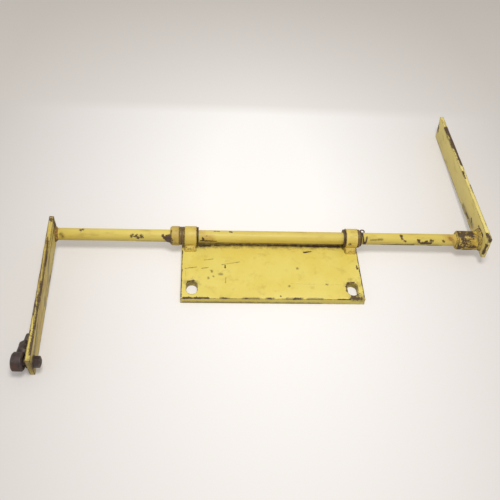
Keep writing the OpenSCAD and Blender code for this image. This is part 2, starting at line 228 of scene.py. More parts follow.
def marked(tree, where, marks, ragged, fray, top=1.0, soft=0.3):
    """Top inside the marks and 0 outside them, with frayed edges. A mark is a straight stroke with
    round ends, given as its two ends in metres and its half width in millimetres."""
    nearest = 9.0  # In half widths of the nearest mark; this is far from all of them
    for start, end, half_mm in marks:
        run = end - start
        back = add(tree, VECTOR_MATH, [start, where], operation="SUBTRACT")
        share = -run / max(run.length_squared, 1e-9)
        along = add(tree, VECTOR_MATH, [back, share], out="Value", operation="DOT_PRODUCT")
        along = add(tree, "ShaderNodeClamp", [along])
        away = add(tree, VECTOR_MATH, {0: run, "Scale": along}, operation="SCALE")
        away = add(tree, VECTOR_MATH, [away, back], operation="ADD")
        away = add(tree, VECTOR_MATH, [away], out="Value", operation="LENGTH")
        away = add(tree, MATH, [away, 1 / (half_mm * MM)], operation="MULTIPLY")
        nearest = add(tree, MATH, [nearest, away], operation="MINIMUM")
    frayed = add(tree, MATH, [ragged, fray, nearest], operation="MULTIPLY_ADD")
    edge = 1 + 0.5 * fray  # The ragged pattern averages 0.5, so a mark keeps its mean width
    return add(tree, MAP_RANGE, {
        "Value": frayed, "From Min": edge + soft, "From Max": edge - soft, "To Max": top})


def enamel(name, body, faded, grimy, bare_and_painted_shade=(), grime_and_painted_shade=(), rust=(), wear=0.5, dirt=0.5,
           fray=2.8, stretch=(1, 1, 1), shift=0.0):
    """Brushed-on yellow machine enamel, years old. The eye sees a chalky yellow clouded with old
    grease, and dark brown steel in an ochre rim wherever it is rubbed or knocked off. Some of the
    grime and bare marks given to it are painted shade."""
    material, tree, shader, where = new_material(name)
    # Sun and hands fade the coat in clouds a hand's width across, and grease lies in smears about
    # as wide as a finger
    cloud = lumps(tree, where, 60, 0.36, 0.66, stretch=stretch, shift=shift)
    smear = lumps(tree, where, 17, 0.52, 0.80, dirt, stretch, shift + 0.5)
    patch = lumps(tree, where, 13, stretch=stretch, shift=shift + 0.3)
    # Chips have a grain near 1 mm, and grit in the grease one near 2 mm; drawn at 2.4 and 3.1 mm so
    # that they show at the picture's scale
    fleck = lumps(tree, where, 2.4, shift=shift + 0.7)
    grit = lumps(tree, where, 3.1, 0.62, 0.76, 0.6 * dirt, shift=shift + 0.9)
    ragged = add(tree, MATH, [patch, 0.5], operation="MULTIPLY")
    ragged = add(tree, MATH, [fleck, 0.5, ragged], operation="MULTIPLY_ADD")
    bared = add(tree, MATH, [rubbed_edges(tree, 2.4), EDGE_WEAR, ragged], operation="MULTIPLY_ADD")
    eased = WEAR_PER_UNIT * wear
    worn = add(tree, MAP_RANGE, {
        "Value": bared, "From Min": CHIP_STARTS - eased, "From Max": CHIP_THROUGH - eased})
    rim = add(tree, MAP_RANGE, {
        "Value": bared, "From Min": RIM_STARTS - eased, "From Max": CHIP_THROUGH - eased, "To Max": 0.6})
    layers = [(cloud, faded), (smear, grimy), (grit, grimy), (rim, THIN_PAINT)]
    # Grime marks: grease, and painted shade in the marks given for it
    if grime_and_painted_shade:
        layers.append((marked(tree, where, grime_and_painted_shade, ragged, fray, top=0.8, soft=0.9), GREASE_AND_PAINTED_SHADE))
    if rust:
        layers.append((marked(tree, where, rust, ragged, fray, top=0.5, soft=1.3), RUST_STAIN))
    # Chips and bare marks: bare steel, and painted shade in the marks given for it
    chip = worn
    if bare_and_painted_shade:
        chip = marked(tree, where, bare_and_painted_shade, ragged, fray)
        chip = add(tree, MATH, [worn, chip], operation="MAXIMUM")
    mottled = add(tree, MATH, [chip, fleck], operation="MULTIPLY")
    layers += [(chip, BARE_STEEL_AND_PAINTED_SHADE), (mottled, BARED_FLECKS)]
    tree.links.new(layered(tree, body, layers), shader.inputs["Base Color"])
    dull = add(tree, MATH, [patch, 0.15, 0.42], operation="MULTIPLY_ADD")
    dull = add(tree, MATH, [chip, 0.2, dull], operation="MULTIPLY_ADD")
    tree.links.new(dull, shader.inputs["Roughness"])
    peel = lumps(tree, where, 1.2, shift=shift)  # The brushed coat's orange peel, at its real size
    sunk = add(tree, MATH, [worn, -2.2, peel], operation="MULTIPLY_ADD")
    bump = add(tree, "ShaderNodeBump", {"Strength": 0.35, "Distance": 0.12 * MM, "Height": sunk})
    tree.links.new(bump, shader.inputs["Normal"])
    return material


def aged_steel(name, dark, brown, crust, rusty=0.4, metal=0.4, shift=0.0):
    """Mild steel, turned or rolled, gone brown with oxide and old grease. The eye sees a dark
    brownish sheen, with matt rust in the patches that the grease has left."""
    material, tree, shader, where = new_material(name)
    cloud = lumps(tree, where, 9, shift=shift)
    # Rust's grit is finer than 0.5 mm; drawn at 1.3 mm so that it shows
    grit = lumps(tree, where, 1.3, shift=shift + 0.4)
    ragged = add(tree, MATH, [grit, 0.5, cloud], operation="MULTIPLY_ADD")
    rust = add(tree, MAP_RANGE, {
        "Value": ragged, "From Min": 1.15 - 0.6 * rusty, "From Max": 1.30 - 0.6 * rusty})
    worn = add(tree, MATH, [rubbed_edges(tree, 1.2), 0.35], operation="MULTIPLY")
    colour = layered(tree, dark, [(cloud, brown), (rust, crust), (worn, RUBBED_STEEL)])
    tree.links.new(colour, shader.inputs["Base Color"])
    shader.inputs["Metallic"].default_value = metal
    dull = add(tree, MATH, [rust, 0.25, 0.5], operation="MULTIPLY_ADD")
    tree.links.new(dull, shader.inputs["Roughness"])
    bump = add(tree, "ShaderNodeBump", {"Strength": 0.5, "Distance": 0.15 * MM, "Height": grit})
    tree.links.new(bump, shader.inputs["Normal"])
    return material


def moulded_rubber(name):
    """Moulded nitrile rubber. The eye sees a matt near-black with a dusty bloom."""
    material, tree, shader, where = new_material(name)
    dust = lumps(tree, where, 3.0)
    bloom = add(tree, MATH, [dust, 0.5], operation="MULTIPLY")
    tree.links.new(layered(tree, "#262423", [(bloom, "#4e4941")]), shader.inputs["Base Color"])
    shader.inputs["Roughness"].default_value = 0.78
    bump = add(tree, "ShaderNodeBump", {"Strength": 0.3, "Distance": 0.1 * MM, "Height": dust})
    tree.links.new(bump, shader.inputs["Normal"])
    return material


def shown_to_the_eye(tree):
    """1 for what the camera sees, directly, in a gloss or through glass, and 0 for bounced light."""
    rays = add(tree, "ShaderNodeLightPath").node.outputs
    shown = add(tree, MATH, [rays["Is Camera Ray"], rays["Is Glossy Ray"]], operation="MAXIMUM")
    return add(tree, MATH, [shown, rays["Is Transmission Ray"]], operation="MAXIMUM")


FLOOR_PAINTED_GLOW = 0.3  # How much the floor glows for the camera, painted light that shows the floor's own tone through the object's shadow
PAINTED_POOL_MIDDLE, SPREAD = (0.0, 0.3, 0.0), (1.3, 0.6, 0.0)  # The middle of the floor's painted pool of light, its squeeze
PAINTED_POOL_FALL = (0.16, 0.9)  # From there, where the painted pool of light begins to fade and where it has faded
SWEEP_FROM, SWEEP_TO, SWEEP_END = 0.57, 0.61, 1.2  # Where the backdrop rises along +Y, and where the painted fade of light beyond it ends


def floor_finish(name):
    """Smooth painted studio floor. The eye sees a warm white with a painted pool of light, which falls off
    outwards from behind the plate and fades further back, and drops a little where the backdrop's sweep
    begins. For the camera it also glows a little, painted light that lightens the object's shadow."""
    material, tree, shader, where = new_material(name)
    away = add(tree, VECTOR_MATH, [where, PAINTED_POOL_MIDDLE], operation="SUBTRACT")
    away = add(tree, VECTOR_MATH, [away, SPREAD], operation="MULTIPLY")
    away = add(tree, VECTOR_MATH, [away], out="Value", operation="LENGTH")
    depth = add(tree, "ShaderNodeSeparateXYZ", [where], out="Y")
    pool_fall = add(tree, MAP_RANGE, {"Value": away, "From Min": PAINTED_POOL_FALL[0], "From Max": PAINTED_POOL_FALL[1]})
    sweep = add(tree, MAP_RANGE, {"Value": depth, "From Min": SWEEP_FROM, "From Max": SWEEP_TO})
    far = add(tree, MAP_RANGE, {"Value": depth, "From Min": SWEEP_TO, "From Max": SWEEP_END})
    behind = add(tree, MATH, [sweep, 0.45], operation="MULTIPLY")
    painted_fade_beyond = add(tree, MATH, [far, 0.8], operation="MULTIPLY")
    # Painted light: the pool of light fades outwards and far back; the step at the sweep is the backdrop's
    # own tone
    tone = layered(tree, "#fffbf7", [(pool_fall, "#d2ccc7"), (behind, "#d6d0c8"), (painted_fade_beyond, "#c8c1ba")])
    shown = shown_to_the_eye(tree)
    colour = add(tree, "ShaderNodeMix", {0: shown, 6: rgb("#c6c1b8"), 7: tone}, out=2, data_type="RGBA")
    tree.links.new(colour, shader.inputs["Base Color"])
    shader.inputs["Roughness"].default_value = 0.9
    shader.inputs["Specular IOR Level"].default_value = 0.1
    # Painted light: the floor glows a little for the camera, which lightens the object's shadow
    painted_glow = add(tree, "ShaderNodeEmission", {"Color": tone, "Strength": 1.0})
    share = add(tree, MATH, [shown, FLOOR_PAINTED_GLOW], operation="MULTIPLY")
    surface = add(tree, "ShaderNodeMixShader", [share, shader.outputs[0], painted_glow])
    tree.links.new(surface, tree.nodes["Material Output"].inputs["Surface"])
    return material


# ---------------------------------------------------------------------------------------------
# Pieces
# ---------------------------------------------------------------------------------------------

SAME_PLACE, FLAT_DEG = 0.001 * MM, 0.3  # Corners this near are one, and so are faces this level
DENT_STEP = 5 * MM  # How closely a bar's edges are divided before they are knocked about
DENTS_PER_M = 55  # Lumps of the noise that the dents come from
FINE_DENTS, FINE_DEPTH = 3.1, 0.6  # How much closer the small dents lie, and how deep they go
SHARP_DEG = 35  # The least angle at which two faces meet in an edge
SINK = 0.4 * MM  # How far a bead's hidden faces go into the metal it joins
pieces = {}  # The finished piece for each CAD node; for the ball stud, its thread, made last


def stands_for(piece, node, material=None):
    """Puts a finished mesh in place of a CAD node, on that node's body."""
    pieces[node] = piece
    if material:
        dress(piece, material)
    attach(piece, BODY_OF[node])
    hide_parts(node)


def dress(piece, material):
    piece.data.materials.clear()
    piece.data.materials.append(material)


def new_object(name, mesh):
    thing = bpy.data.objects.new(name, mesh)
    bpy.context.scene.collection.objects.link(thing)
    return thing


def baked(thing):
    """The object with its modifiers applied."""
    graph = bpy.context.evaluated_depsgraph_get()
    mesh = bpy.data.meshes.new_from_object(thing.evaluated_get(graph))
    thing.modifiers.clear()
    thing.data = mesh
    return thing


def outwards(name, shape):
    """A mesh from a closed bmesh, with every face turned outwards."""
    bmesh.ops.recalc_face_normals(shape, faces=shape.faces)
    mesh = bpy.data.meshes.new(name)
    shape.to_mesh(mesh)
    shape.free()
    return mesh


def smoothed(mesh, sharp_deg):
    mesh.shade_smooth()
    mesh.set_sharp_from_angle(angle=math.radians(sharp_deg))


def softened(node, edge_mm, dent_mm, shift):
    """A CAD node's shape with its sharp edges broken, as a file or years of handling leave them,
    and knocked in here and there by up to dent_mm."""
    shape = bmesh.new()
    shape.from_mesh(NODES[node].data)
    bmesh.ops.remove_doubles(shape, verts=shape.verts, dist=SAME_PLACE)
    bmesh.ops.dissolve_limit(
        shape, angle_limit=math.radians(FLAT_DEG), verts=shape.verts, edges=shape.edges)
    if dent_mm:
        for edge in [e for e in shape.edges if e.calc_length() > 2 * DENT_STEP]:
            cuts = int(edge.calc_length() / DENT_STEP) - 1
            bmesh.ops.subdivide_edges(shape, edges=[edge], cuts=cuts)
    mesh = bpy.data.meshes.new("dressed_" + node)
    shape.to_mesh(mesh)
    shape.free()
    piece = new_object("dressed_" + node, mesh)
    bevel = piece.modifiers.new("broken_edges", "BEVEL")
    bevel.width = edge_mm * MM
    bevel.segments = 2
    bevel.limit_method = "ANGLE"
    bevel.angle_limit = math.radians(SHARP_DEG)
    bevel.use_clamp_overlap = True
    piece = baked(piece)
    if dent_mm:
        outward = [vertex.normal.copy() for vertex in piece.data.vertices]
        for vertex, way in zip(piece.data.vertices, outward):
            here = vertex.co * DENTS_PER_M + Vector((shift, shift, shift))
            knock = max(0.0, noise.noise(here) + FINE_DEPTH * noise.noise(here * FINE_DENTS))
            vertex.co -= way * knock * dent_mm * MM
    smoothed(piece.data, SHARP_DEG)
    return piece


def turned(name, outline, steps=64):
    """A lathe-turned mesh about the X axis. The outline is (x, radius) in millimetres, and it
    starts and ends on the axis or closes on itself."""
    shape = bmesh.new()
    rings = []
    for x, radius in outline:
        if radius == 0:
            rings.append([shape.verts.new((x * MM, 0, 0))] * steps)
            continue
        turns = (2 * math.pi * i / steps for i in range(steps))
        rings.append([shape.verts.new((x * MM, radius * MM * math.cos(a), radius * MM * math.sin(a)))
                      for a in turns])
    closed = outline[0][1] > 0
    for here, there in zip(rings, rings[1:] + ([rings[0]] if closed else [])):
        for i in range(steps):
            j = (i + 1) % steps
            shape.faces.new(list(dict.fromkeys((here[i], here[j], there[j], there[i]))))
    return outwards(name, shape)


def hexagon_nut(name, flats, thick, bore):
    """A nut along +Z from 0, with a flat towards +X, its corners cut back by the usual 30 degree
    chamfer, in millimetres."""
    steps, chamfer_r, lead = 96, 0.475 * flats, 0.6
    shape = bmesh.new()
    columns = []
    for i in range(steps):
        angle = 360 * i / steps
        reach = flats / 2 / math.cos(math.radians((angle + 30) % 60 - 30))
        cut = max(0.02, (reach - chamfer_r) * math.tan(math.radians(30)))
        outline = [(bore + lead, 0), (chamfer_r, 0), (reach, cut), (reach, thick - cut),
                   (chamfer_r, thick), (bore + lead, thick), (bore, thick - lead), (bore, lead)]
        x, y = math.cos(math.radians(angle)) * MM, math.sin(math.radians(angle)) * MM
        columns.append([shape.verts.new((r * x, r * y, z * MM)) for r, z in outline])
    for here, there in zip(columns, columns[1:] + columns[:1]):
        for k in range(len(here)):
            m = (k + 1) % len(here)
            shape.faces.new((here[k], here[m], there[m], there[k]))
    return outwards(name, shape)


def laid(mesh, matrix):
    """An object whose mesh has been moved into place, smooth but for its sharp edges."""
    mesh.transform(matrix)
    smoothed(mesh, SHARP_DEG)
    return new_object(mesh.name, mesh)


# ---------------------------------------------------------------------------------------------
# Geometry Nodes trees
# ---------------------------------------------------------------------------------------------

def new_tree(name, inputs):
    """A Geometry Nodes tree with named inputs, given as (name, socket type), and its input node."""
    tree = bpy.data.node_groups.new(name, "GeometryNodeTree")
    tree.interface.new_socket("Geometry", in_out="INPUT", socket_type="NodeSocketGeometry")
    for label, kind in inputs:
        tree.interface.new_socket(label, in_out="INPUT", socket_type="NodeSocket" + kind)
    tree.interface.new_socket("Geometry", in_out="OUTPUT", socket_type="NodeSocketGeometry")
    return tree, tree.nodes.new("NodeGroupInput").outputs


def weld_bead_tree():
    """A weld bead along a line. Its section runs from the toe on one plate over the crown to the
    toe on the other, and round the hidden root. Ripples lie across it as the welder left them."""
    tree, given = new_tree("weld_bead", [
        ("Toe", "Vector"), ("Top", "Vector"), ("Root", "Vector"), ("Crown", "Vector"),
        ("End Size", "Float"), ("Step", "Float"), ("Ripple Pitch", "Float"), ("Ripple Height", "Float"),
        ("Lump Size", "Float"), ("Lump Height", "Float"), ("Seed", "Float"), ("Material", "Material")])
    across_points, end_share = 12, 0.1  # Points from toe to toe, and how much of the bead each end is
    ripple_lean = 1.6  # Above 1 a ripple rises slowly and drops off sharply

    line = add(tree, "GeometryNodeMeshToCurve", {"Mesh": given["Geometry"]})
    line = add(tree, "GeometryNodeResampleCurve", {"Curve": line, "Length": given["Step"]}, mode="LENGTH")
    line = add(tree, "GeometryNodeSetCurveNormal", {"Curve": line}, mode="Z_UP")
    spline = tree.nodes.new("GeometryNodeSplineParameter").outputs
    left = add(tree, MATH, [1.0, spline["Factor"]], operation="SUBTRACT")
    left = add(tree, MATH, [left, spline["Factor"]], operation="MINIMUM")
    size = add(tree, MAP_RANGE, {
        "Value": left, "From Max": end_share, "To Min": given["End Size"]},
        interpolation_type="SMOOTHSTEP")
    kept = tree.nodes.new("GeometryNodeCaptureAttribute")
    kept.capture_items.new("FLOAT", "Along")
    tree.links.new(line, kept.inputs["Geometry"])
    tree.links.new(spline["Length"], kept.inputs["Along"])

    index = add(tree, "GeometryNodeInputIndex")
    share = add(tree, MATH, [index, float(across_points - 1)], operation="DIVIDE")
    rest = add(tree, MATH, [1.0, share], operation="SUBTRACT")
    arch = add(tree, MATH, [share, rest], operation="MULTIPLY")
    arch = add(tree, MATH, [arch, 4.0], operation="MULTIPLY", use_clamp=True)
    place = add(tree, "ShaderNodeMix", {
        0: share, 4: given["Toe"], 5: given["Top"]}, out=1, data_type="VECTOR")
    rise = add(tree, VECTOR_MATH, {0: given["Crown"], "Scale": arch}, operation="SCALE")
    place = add(tree, VECTOR_MATH, [place, rise])
    at_root = add(tree, MATH, [index, across_points - 0.5], operation="GREATER_THAN")
    place = add(tree, "ShaderNodeMix", {0: at_root, 4: place, 5: given["Root"]}, out=1, data_type="VECTOR")
    place = add(tree, VECTOR_MATH, [place, (1, -1, 0)], operation="MULTIPLY")
    section = add(tree, "GeometryNodeMeshLine", {"Count": across_points + 1})
    section = add(tree, "GeometryNodeMeshToCurve", {"Mesh": section})
    section = add(tree, "GeometryNodeSetSplineCyclic", {"Geometry": section, "Cyclic": True})
    section = add(tree, "GeometryNodeSetPosition", {"Geometry": section, "Position": place})
    arched = tree.nodes.new("GeometryNodeCaptureAttribute")
    arched.capture_items.new("FLOAT", "Arch")
    tree.links.new(section, arched.inputs["Geometry"])
    tree.links.new(arch, arched.inputs["Arch"])

    bead = add(tree, "GeometryNodeCurveToMesh", {
        "Curve": kept.outputs["Geometry"], "Profile Curve": arched.outputs["Geometry"],
        "Scale": size, "Fill Caps": True})
    # The ripples are crescents: they trail at the toes
    trail = add(
        tree, MATH, [arched.outputs["Arch"], given["Ripple Pitch"]], operation="MULTIPLY")
    phase = add(tree, MATH, [kept.outputs["Along"], trail], operation="ADD")
    phase = add(tree, MATH, [phase, given["Ripple Pitch"]], operation="DIVIDE")
    phase = add(tree, MATH, [phase], operation="FRACT")
    ripple = add(tree, MATH, [phase, ripple_lean], operation="POWER")
    ripple = add(tree, MATH, [ripple, given["Ripple Height"]], operation="MULTIPLY")
    grain = add(tree, MATH, [1.0, given["Lump Size"]], operation="DIVIDE")
    cloud = add(tree, "ShaderNodeTexNoise", {
        "W": given["Seed"], "Scale": grain, "Detail": 2.0}, noise_dimensions="4D")
    cloud = add(tree, MATH, [cloud, 0.5], operation="SUBTRACT")
    lift = add(tree, MATH, [cloud, given["Lump Height"], ripple], operation="MULTIPLY_ADD")
    lift = add(tree, MATH, [lift, arched.outputs["Arch"]], operation="MULTIPLY")
    push = add(tree, VECTOR_MATH, {
        0: add(tree, "GeometryNodeInputNormal"), "Scale": lift}, operation="SCALE")
    bead = add(tree, "GeometryNodeSetPosition", {"Geometry": bead, "Offset": push})
    bead = add(tree, "GeometryNodeSetShadeSmooth", {"Geometry": bead, "Shade Smooth": True})
    bead = add(tree, "GeometryNodeRealizeInstances", {"Geometry": bead})
    bead = add(tree, "GeometryNodeSetMaterial", {"Geometry": bead, "Material": given["Material"]})
    add(tree, "NodeGroupOutput", {"Geometry": bead})
    return tree


def screw_thread_tree():
    """A threaded rod along +Z from 0, with a single-start V thread and chamfered ends."""
    tree, given = new_tree("screw_thread", [
        ("Length", "Float"), ("Radius", "Float"), ("Pitch", "Float"), ("Depth", "Float"),
        ("Chamfer", "Float"), ("Material", "Material")])
    around, per_turn = 40, 7.0  # Points round the rod, and rings to one turn of the thread
    crest, root = 0.06, 0.44  # Of a half turn: where the flat crest ends and the flat root begins
    rings = add(tree, MATH, [given["Length"], given["Pitch"]], operation="DIVIDE")
    rings = add(tree, MATH, [rings, per_turn], operation="MULTIPLY")
    rod = add(tree, "GeometryNodeMeshCylinder", {
        "Vertices": around, "Side Segments": rings, "Radius": given["Radius"], "Depth": given["Length"]})
    x, y, z = add(tree, "ShaderNodeSeparateXYZ", [add(tree, "GeometryNodeInputPosition")]).node.outputs
    turn = add(tree, MATH, [y, x], operation="ARCTAN2")
    turn = add(tree, MATH, [turn, 2 * math.pi], operation="DIVIDE")
    climb = add(tree, MATH, [z, given["Pitch"]], operation="DIVIDE")
    phase = add(tree, MATH, [climb, turn], operation="SUBTRACT")
    phase = add(tree, MATH, [phase, 0.5], operation="PINGPONG")
    groove = add(tree, MAP_RANGE, {
        "Value": phase, "From Min": crest, "From Max": root, "To Max": given["Depth"]})
    half = add(tree, MATH, [given["Length"], 0.5], operation="MULTIPLY")
    away = add(tree, MATH, [z], operation="ABSOLUTE")
    to_end = add(tree, MATH, [half, away], operation="SUBTRACT")
    cut = add(tree, MATH, [given["Chamfer"], to_end], operation="SUBTRACT")
    groove = add(tree, MATH, [groove, cut], operation="MAXIMUM")
    shrunk = add(tree, MATH, [given["Radius"], groove], operation="SUBTRACT")
    shrunk = add(tree, MATH, [shrunk, given["Radius"]], operation="DIVIDE")
    squeeze = add(tree, "ShaderNodeCombineXYZ", [shrunk, shrunk, 1.0])
    place = add(tree, VECTOR_MATH, [add(tree, "GeometryNodeInputPosition"), squeeze],
                operation="MULTIPLY")
    lift = add(tree, "ShaderNodeCombineXYZ", [0.0, 0.0, half])
    rod = add(tree, "GeometryNodeSetPosition", {"Geometry": rod, "Position": place, "Offset": lift})
    rod = add(tree, "GeometryNodeRealizeInstances", {"Geometry": rod})
    rod = add(tree, "GeometryNodeSetMaterial", {"Geometry": rod, "Material": given["Material"]})
    add(tree, "NodeGroupOutput", {"Geometry": rod})
    return tree


def bent_wire_tree():
    """Round wire along a line, with its two cut ends narrowed."""
    tree, given = new_tree("bent_wire", [("Radius", "Float"), ("Material", "Material")])
    end_share, end_size = 0.012, 0.55
    line = add(tree, "GeometryNodeMeshToCurve", {"Mesh": given["Geometry"]})
    factor = add(tree, "GeometryNodeSplineParameter", out="Factor")
    left = add(tree, MATH, [1.0, factor], operation="SUBTRACT")
    left = add(tree, MATH, [left, factor], operation="MINIMUM")
    size = add(tree, MAP_RANGE, {
        "Value": left, "From Max": end_share, "To Min": end_size})
    section = add(tree, "GeometryNodeCurvePrimitiveCircle", {"Resolution": 16, "Radius": given["Radius"]})
    wire = add(tree, "GeometryNodeCurveToMesh", {
        "Curve": line, "Profile Curve": section, "Scale": size, "Fill Caps": True})
    wire = add(tree, "GeometryNodeRealizeInstances", {"Geometry": wire})
    wire = add(tree, "GeometryNodeSetMaterial", {"Geometry": wire, "Material": given["Material"]})
    add(tree, "NodeGroupOutput", {"Geometry": wire})
    return tree


def grown(name, tree, points=(), closed=False, matrix=None, sharp_deg=50, **inputs):
    """What a tree makes of a line of points, moved into place. Inputs go by the tree's own names,
    with an underscore for a space."""
    mesh = bpy.data.meshes.new(name)
    edges = [(i, i + 1) for i in range(len(points) - 1)]
    if closed:
        edges.append((len(points) - 1, 0))
    mesh.from_pydata([tuple(p) for p in points], edges, [])
    thing = new_object(name, mesh)
    grow = thing.modifiers.new("grow", "NODES")
    grow.node_group = tree
    for item in tree.interface.items_tree:
        key = item.name.replace(" ", "_")
        if item.in_out == "INPUT" and key in inputs:
            grow[item.identifier] = inputs[key]
    thing = baked(thing)
    shape = bmesh.new()
    shape.from_mesh(thing.data)
    bmesh.ops.recalc_face_normals(shape, faces=shape.faces)
    shape.to_mesh(thing.data)
    shape.free()
    thing.data.transform(matrix or Matrix())
    smoothed(thing.data, sharp_deg)
    return thing


# ---------------------------------------------------------------------------------------------
# Floor and light
# ---------------------------------------------------------------------------------------------

SKY = 0.5  # The share of the light that comes evenly from all round
LAMP = 34  # Watts; with the sky it lights a level white surface to just white
LAMP_PLACE, LAMP_AIM, LAMP_SIZE = Vector((0, -0.4, 2.4)), Vector((0, 0.15, 0)), 0.75


def make_floor():
    """A level floor, just under the plate."""
    half, below = 4.0, -0.0003
    corners_xy = ((-half, -half), (half, -half), (half, half), (-half, half))
    mesh = bpy.data.meshes.new("floor")
    mesh.from_pydata([(x, y, below) for x, y in corners_xy], [], [(0, 1, 2, 3)])
    mesh.materials.append(floor_finish("pale_floor"))
    new_object("floor", mesh)


def make_light():
    """An even sky, and a broad soft lamp nearly overhead that lays faint shadows right under
    the object."""
    world = bpy.data.worlds.new("studio")
    world.use_nodes = True
    tree = world.node_tree
    tree.nodes.clear()
    sky = add(tree, "ShaderNodeBackground", {"Color": rgb("#fffefc"), "Strength": SKY})
    backdrop = add(tree, "ShaderNodeBackground", {"Color": rgb("#d5cfc8"), "Strength": 1.0})
    surface = add(tree, "ShaderNodeMixShader", [shown_to_the_eye(tree), sky, backdrop])
    add(tree, "ShaderNodeOutputWorld", {"Surface": surface})
    bpy.context.scene.world = world
    data = bpy.data.lights.new("softbox", "AREA")
    data.shape = "DISK"
    data.size = LAMP_SIZE
    data.energy = LAMP
    lamp = bpy.data.objects.new("softbox", data)
    lamp.location = LAMP_PLACE
    lamp.rotation_euler = (LAMP_AIM - LAMP_PLACE).to_track_quat("-Z", "Y").to_euler()
    bpy.context.scene.collection.objects.link(lamp)


# ---------------------------------------------------------------------------------------------
# Build
# ---------------------------------------------------------------------------------------------

def corners(node):
    low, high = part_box(node)
    return Vector(low), Vector(high)


def middle(node):
    low, high = corners(node)
    return (low + high) / 2


def across_shaft(x, up, side):
    """Stands a flat piece upright on the shaft's axis at x, with its own X along up and its Y along
    side, so that its Z points along the shaft."""
    axes = Matrix((up, side, up.cross(side))).transposed().to_4x4()
    return Matrix.Translation((x, SHAFT.y, SHAFT.z)) @ axes


def arc(radius, start_deg, end_deg, step_deg=2.0):
    """Points of a circle in the XY plane."""
    count = max(2, round((end_deg - start_deg) / step_deg))
    turns = (math.radians(start_deg + (end_deg - start_deg) * i / count) for i in range(count + 1))
    return [Vector((radius * math.cos(a), radius * math.sin(a), 0)) for a in turns]


def fillet(out_mm, up_mm, crown_mm):
    """The section of a bead in a square corner, with a leg of each length."""
    out, up = out_mm * MM, up_mm * MM
    away = Vector((up, out, 0)).normalized() * crown_mm * MM
    return {"Toe": (out, -SINK, 0), "Top": (-SINK, up, 0), "Root": (-SINK, -SINK, 0), "Crown": away}


FOOT_TOP, FOOT_ROOT = Vector((18.3, 12.9, 0)) * MM, 8 * MM  # From under the shaft's axis, on the plate


def foot(toe_mm, crown_mm):
    """The section of a bead that fills the wedge between the plate and a ring standing on it."""
    away = Vector((1, 0.86, 0)).normalized() * crown_mm * MM
    return {"Toe": (toe_mm * MM, -SINK, 0), "Top": FOOT_TOP, "Root": (FOOT_ROOT, -SINK, 0), "Crown": away}


def arm_axes(droop, side):
    """Upwards across an arm's bar, and along it to its tip; side is -1 in front of the shaft, 1 behind."""
    return (Vector((0, side * math.sin(droop), math.cos(droop))),
            Vector((0, side * math.cos(droop), -math.sin(droop))))


def strokes(start_from, rows):
    """Marks for a material. Each row is the two ends, in millimetres from a place, and the half
    width."""
    return [(start_from + Vector(a) * MM, start_from + Vector(b) * MM, half) for a, b, half in rows]


SHAFT = middle("cross_shaft")
SHAFT_R = (corners("cross_shaft")[1].z - corners("cross_shaft")[0].z) / 2
HUB_R = (corners("hub_sleeve")[1].z - corners("hub_sleeve")[0].z) / 2
PLATE_LOW, PLATE_HIGH = corners("mounting_plate")
STUD = middle("stud_washer")
BALL = middle("ball_seat")
LEFT_DROOP = math.radians(4.414)  # Each arm points down, so that its tip rests on the floor
RIGHT_DROOP = math.radians(3.563)
LINK_DROOP = math.radians(17.168)
LINK_TOE_IN = math.radians(1.8)
LINK = (Matrix.Translation(BALL) @ Matrix.Rotation(-LINK_TOE_IN, 4, "Z")
        @ Matrix.Rotation(-LINK_DROOP, 4, "X"))
ALONG_SHAFT = Matrix.Rotation(math.radians(90), 4, "Y")  # Turns a piece built along +Z to lie along +X
ALONG_ROD = Matrix.Rotation(math.radians(-90), 4, "X")  # And to lie along +Y

make_camera()
make_floor()
make_light()

# Bars, rings and turned parts, with their edges broken: the edge's width and the depth of its
# dents in millimetres
PLAIN_EDGES = {
    "mounting_plate": (0.9, 0.2), "left_crank_arm": (1.3, 1.0), "right_crank_arm": (1.2, 0.9),
    "hub_sleeve": (0.9, 0.6), "stop_collar": (0.8, 0.3), "left_bearing_ring": (0.8, 0.3),
    "right_bearing_ring": (0.8, 0.3), "cross_shaft": (0.4, 0.0), "left_bush": (0.5, 0.0),
    "right_bush": (0.5, 0.0), "left_outer_washer": (0.7, 0.2), "left_inner_washer": (0.7, 0.2),
    "right_inner_washer": (0.7, 0.2), "right_thin_washer": (0.6, 0.2), "stud_washer": (0.3, 0.0),
    "joint_housing": (0.8, 0.3), "housing_cap": (0.5, 0.0)}
for i, (node, (edge, dent)) in enumerate(PLAIN_EDGES.items()):
    pieces[node] = softened(node, edge, dent, 0.37 * i)

# Scratches, chips, rust and grease, and some painted shade, each set out from a mark that the photograph
# shows, or from the plate's near corners and the middles of its slots
CARRIER = {
    "plate_scratch": "mounting_plate", "shaft_chip_left": "cross_shaft",
    "shaft_chip_far_left": "cross_shaft", "shaft_rust": "cross_shaft",
    "shaft_chip_right": "cross_shaft", "shaft_scar_right": "cross_shaft",
    "hub_bare_patch": "hub_sleeve", "left_arm_rust": "left_crank_arm",
    "right_arm_chip": "right_crank_arm", "right_arm_scar": "right_crank_arm"}
mark = {point: placed(point, [pieces[node]]) for point, node in CARRIER.items()}
near_left = Vector((PLATE_LOW.x, PLATE_LOW.y, PLATE_HIGH.z))
near_right = Vector((PLATE_HIGH.x, PLATE_LOW.y, PLATE_HIGH.z))
left_slot, right_slot = (
    Vector((mount["pos_m"][0], mount["pos_m"][1], PLATE_HIGH.z))
    for name in ("left_bolt_slot", "right_bolt_slot")
    for mount in RECORD["mounts"] if mount["name"] == name)
scratch = mark["plate_scratch"]
